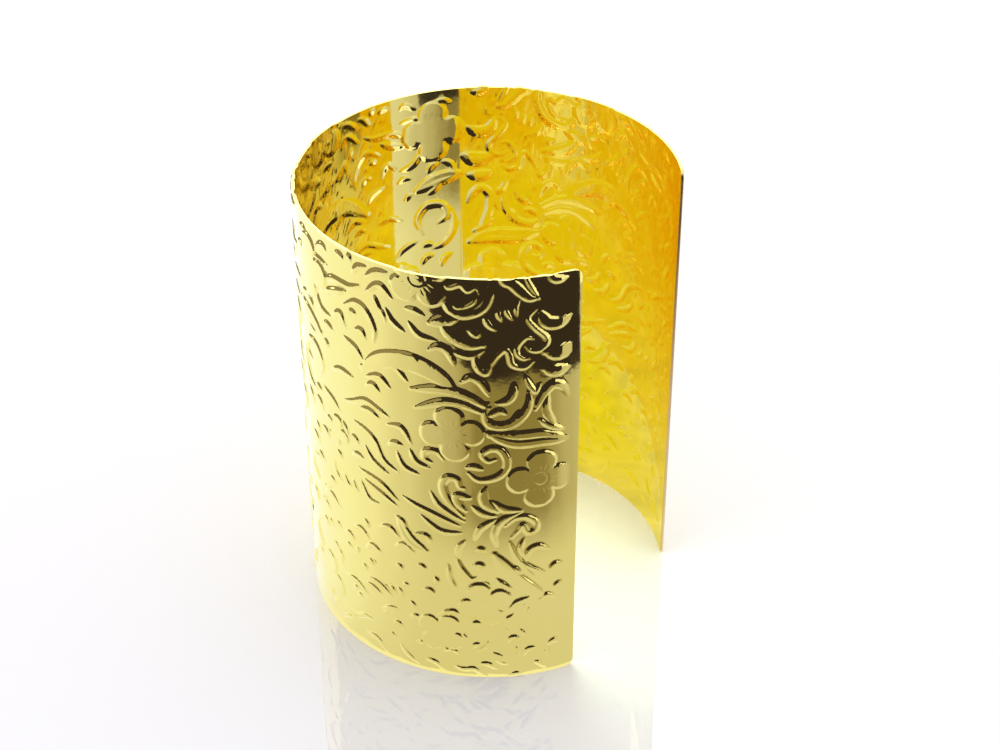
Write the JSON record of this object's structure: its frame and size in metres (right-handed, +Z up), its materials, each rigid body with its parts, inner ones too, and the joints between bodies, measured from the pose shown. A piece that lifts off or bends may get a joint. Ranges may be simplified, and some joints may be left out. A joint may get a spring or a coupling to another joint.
{
  "type": "cuff bracelet",
  "caption": "Wide open cuff bracelet: a rolled strip of thin plated sheet, embossed all over with flowers, leaves and scrolls.",
  "frame": {"origin": "on the surface it stands on, under the middle of the bracelet's box", "axes": "+Z up along the axis of the ring, -Y out through the middle of the gap, +X to the right as seen through the gap"},
  "size_m": [0.0626, 0.0574, 0.078],
  "materials": {
    "gold_plate": "mirror-polished pale gold plate over brass sheet"
  },
  "bodies": {
    "root": {"cuff_band": "gold_plate"}
  },
  "joints": []
}
